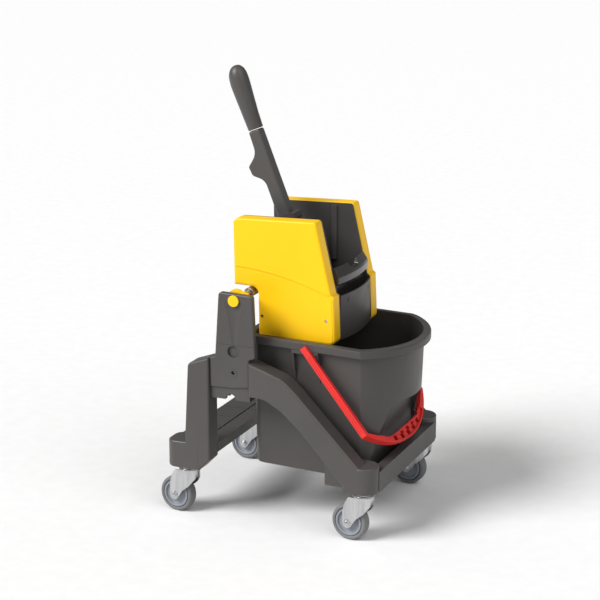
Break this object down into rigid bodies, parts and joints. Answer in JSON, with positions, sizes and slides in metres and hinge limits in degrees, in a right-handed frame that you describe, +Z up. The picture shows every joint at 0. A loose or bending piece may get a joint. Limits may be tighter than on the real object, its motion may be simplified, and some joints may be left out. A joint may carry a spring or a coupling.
{
  "type": "mop bucket with wringer",
  "caption": "Wheeled mop bucket trolley with a swing-back lever press wringer, lift-out bucket with a red bail and swivel casters.",
  "frame": {"origin": "on the floor, under the middle of the trolley", "axes": "+X towards the front, where the bail and the front tray are; +Y to the left; +Z up"},
  "size_m": [0.5107, 0.394, 0.8992],
  "materials": {
    "frame_plastic": "fine moulded grain, warm dark grey",
    "bucket_plastic": "fine moulded grain, darker grey",
    "press_plastic": "fine moulded grain, near black",
    "lever_plastic": "fine moulded grain, dark grey",
    "yellow_plastic": "smooth satin yellow",
    "red_plastic": "smooth satin red",
    "hub_plastic": "moulded grey",
    "tyre": "smooth grey rubber tread",
    "zinc": "bright zinc-plated pressed steel",
    "steel": "plain bright steel"
  },
  "bodies": {
    "chassis": {"caster_front_right_race": "zinc", "caster_front_left_race": "zinc", "caster_rear_right_race": "zinc", "caster_rear_left_race": "zinc", "front_tray": "frame_plastic", "rear_platform": "frame_plastic", "rear_leg_right": "frame_plastic", "front_arm_right": "frame_plastic", "post_right": "frame_plastic", "post_screw_right": "steel", "tilt_pin_right": "steel", "pin_cap_right": "yellow_plastic", "rear_leg_left": "frame_plastic", "front_arm_left": "frame_plastic", "post_left": "frame_plastic", "post_screw_left": "steel", "tilt_pin_left": "steel", "pin_cap_left": "yellow_plastic"},
    "press": {"press_cover_right": "yellow_plastic", "press_side_plate_right": "press_plastic", "cover_screw_rear_right": "steel", "cover_screw_front_right": "steel", "tube_bracket_right": "press_plastic", "press_cover_left": "yellow_plastic", "press_side_plate_left": "press_plastic", "cover_screw_rear_left": "steel", "cover_screw_front_left": "steel", "tube_bracket_left": "press_plastic", "press_front_wall": "press_plastic", "front_jaw": "press_plastic", "drain_plate": "press_plastic", "press_back": "press_plastic", "cross_tube": "steel", "jaw_rod": "steel"},
    "lever": {"moving_jaw": "press_plastic", "lever_arm": "lever_plastic", "lever_grip": "lever_plastic"},
    "bucket": {"bucket": "bucket_plastic"},
    "bail": {"bail": "red_plastic"},
    "caster_front_right": {"caster_front_right_fork": "zinc", "caster_front_right_axle": "steel"},
    "caster_front_right_wheel": {"caster_front_right_tyre": "tyre", "caster_front_right_hub": "hub_plastic"},
    "caster_front_left": {"caster_front_left_fork": "zinc", "caster_front_left_axle": "steel"},
    "caster_front_left_wheel": {"caster_front_left_tyre": "tyre", "caster_front_left_hub": "hub_plastic"},
    "caster_rear_right": {"caster_rear_right_fork": "zinc", "caster_rear_right_axle": "steel"},
    "caster_rear_right_wheel": {"caster_rear_right_tyre": "tyre", "caster_rear_right_hub": "hub_plastic"},
    "caster_rear_left": {"caster_rear_left_fork": "zinc", "caster_rear_left_axle": "steel"},
    "caster_rear_left_wheel": {"caster_rear_left_tyre": "tyre", "caster_rear_left_hub": "hub_plastic"},
    "latch_right": {"press_latch_right": "yellow_plastic"},
    "latch_left": {"press_latch_left": "yellow_plastic"}
  },
  "joints": [
    {"name": "caster_front_right_swivel", "type": "hinge", "parent": "chassis", "child": "caster_front_right", "pos_m": [0.1905, -0.1665, 0.096], "axis": [0, 0, 1], "continuous": true},
    {"name": "caster_front_right_spin", "type": "hinge", "parent": "caster_front_right", "child": "caster_front_right_wheel", "pos_m": [0.16265, -0.16357, 0.0375], "axis": [0.1045, 0.9945, 0], "continuous": true},
    {"name": "caster_front_left_swivel", "type": "hinge", "parent": "chassis", "child": "caster_front_left", "pos_m": [0.1905, 0.1665, 0.096], "axis": [0, 0, 1], "continuous": true},
    {"name": "caster_front_left_spin", "type": "hinge", "parent": "caster_front_left", "child": "caster_front_left_wheel", "pos_m": [0.16265, 0.16943, 0.0375], "axis": [0.1045, 0.9945, 0], "continuous": true},
    {"name": "caster_rear_right_swivel", "type": "hinge", "parent": "chassis", "child": "caster_rear_right", "pos_m": [-0.1905, -0.1665, 0.096], "axis": [0, 0, 1], "continuous": true},
    {"name": "caster_rear_right_spin", "type": "hinge", "parent": "caster_rear_right", "child": "caster_rear_right_wheel", "pos_m": [-0.21835, -0.16357, 0.0375], "axis": [0.1045, 0.9945, 0], "continuous": true},
    {"name": "caster_rear_left_swivel", "type": "hinge", "parent": "chassis", "child": "caster_rear_left", "pos_m": [-0.1905, 0.1665, 0.096], "axis": [0, 0, 1], "continuous": true},
    {"name": "caster_rear_left_spin", "type": "hinge", "parent": "caster_rear_left", "child": "caster_rear_left_wheel", "pos_m": [-0.21835, 0.16943, 0.0375], "axis": [0.1045, 0.9945, 0], "continuous": true},
    {"name": "bucket_lift", "type": "slide", "parent": "chassis", "child": "bucket", "axis": [0, 0, 1], "range_m": [0, 0.05]},
    {"name": "bail_swing", "type": "hinge", "parent": "bucket", "child": "bail", "pos_m": [0.06, 0, 0.371], "axis": [0, -1, 0], "range_deg": [0, 130]},
    {"name": "press_tilt", "type": "hinge", "parent": "chassis", "child": "press", "pos_m": [-0.076, 0, 0.466], "axis": [0, -1, 0], "range_deg": [0, 95]},
    {"name": "lever_pull", "type": "hinge", "parent": "press", "child": "lever", "pos_m": [-0.016, 0, 0.52], "axis": [0, -1, 0], "range_deg": [0, 30]},
    {"name": "latch_turn_right", "type": "hinge", "parent": "chassis", "child": "latch_right", "pos_m": [-0.076, 0, 0.466], "axis": [0, -1, 0], "range_deg": [0, 90]},
    {"name": "latch_turn_left", "type": "hinge", "parent": "chassis", "child": "latch_left", "pos_m": [-0.076, 0, 0.466], "axis": [0, -1, 0], "range_deg": [0, 90]}
  ]
}
